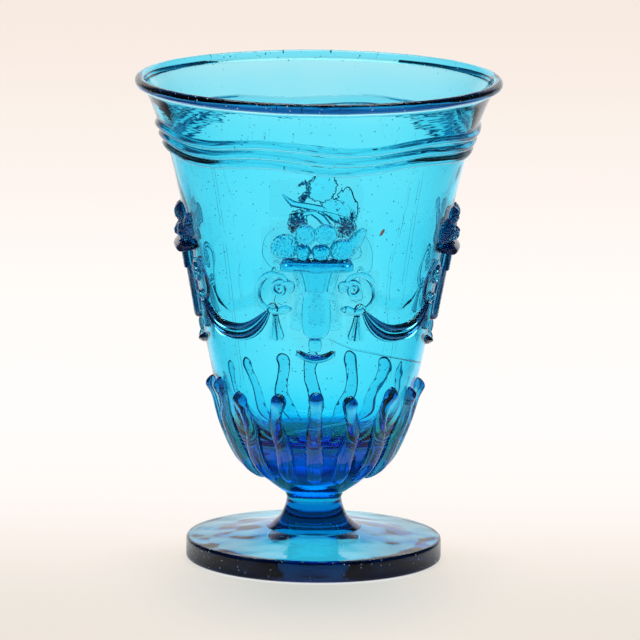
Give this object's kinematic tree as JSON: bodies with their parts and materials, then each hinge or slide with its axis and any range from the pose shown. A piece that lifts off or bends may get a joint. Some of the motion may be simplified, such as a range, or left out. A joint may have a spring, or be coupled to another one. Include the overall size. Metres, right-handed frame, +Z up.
{
  "type": "glass vase",
  "caption": "Footed turquoise glass vase with a flared bowl, wavy threads below the lip, urn and swag reliefs, ribs at the base, and a waisted stem on a thick disc foot.",
  "frame": {"origin": "centre of the foot's underside, on the surface the vase stands on", "axes": "+Z up through the bowl, -Y towards the front urn, +X to the viewer's right"},
  "size_m": [0.1428, 0.1428, 0.19],
  "materials": {
    "bowl_glass": "glossy",
    "relief_glass": "glossy",
    "foot_glass": "glossy"
  },
  "bodies": {
    "root": {"foot": "foot_glass", "stem": "foot_glass", "bowl": "bowl_glass", "thread_upper": "relief_glass", "thread_middle": "relief_glass", "thread_lower": "relief_glass", "rib_01": "relief_glass", "rib_02": "relief_glass", "rib_03": "relief_glass", "rib_04": "relief_glass", "rib_05": "relief_glass", "rib_06": "relief_glass", "rib_07": "relief_glass", "rib_08": "relief_glass", "rib_09": "relief_glass", "rib_10": "relief_glass", "rib_11": "relief_glass", "rib_12": "relief_glass", "rib_13": "relief_glass", "rib_14": "relief_glass", "rib_15": "relief_glass", "rib_16": "relief_glass", "urn_front_body": "relief_glass", "urn_front_rim": "relief_glass", "urn_front_fruit": "relief_glass", "urn_front_foot": "relief_glass", "urn_front_handle_left": "relief_glass", "tassel_front_left": "relief_glass", "urn_front_handle_right": "relief_glass", "tassel_front_right": "relief_glass", "swag_front_right": "relief_glass", "urn_right_body": "relief_glass", "urn_right_rim": "relief_glass", "urn_right_fruit": "relief_glass", "urn_right_foot": "relief_glass", "urn_right_handle_left": "relief_glass", "tassel_right_left": "relief_glass", "urn_right_handle_right": "relief_glass", "tassel_right_right": "relief_glass", "swag_right_back": "relief_glass", "urn_back_body": "relief_glass", "urn_back_rim": "relief_glass", "urn_back_fruit": "relief_glass", "urn_back_foot": "relief_glass", "urn_back_handle_left": "relief_glass", "tassel_back_left": "relief_glass", "urn_back_handle_right": "relief_glass", "tassel_back_right": "relief_glass", "swag_back_left": "relief_glass", "urn_left_body": "relief_glass", "urn_left_rim": "relief_glass", "urn_left_fruit": "relief_glass", "urn_left_foot": "relief_glass", "urn_left_handle_left": "relief_glass", "tassel_left_left": "relief_glass", "urn_left_handle_right": "relief_glass", "tassel_left_right": "relief_glass", "swag_left_front": "relief_glass"}
  },
  "joints": []
}
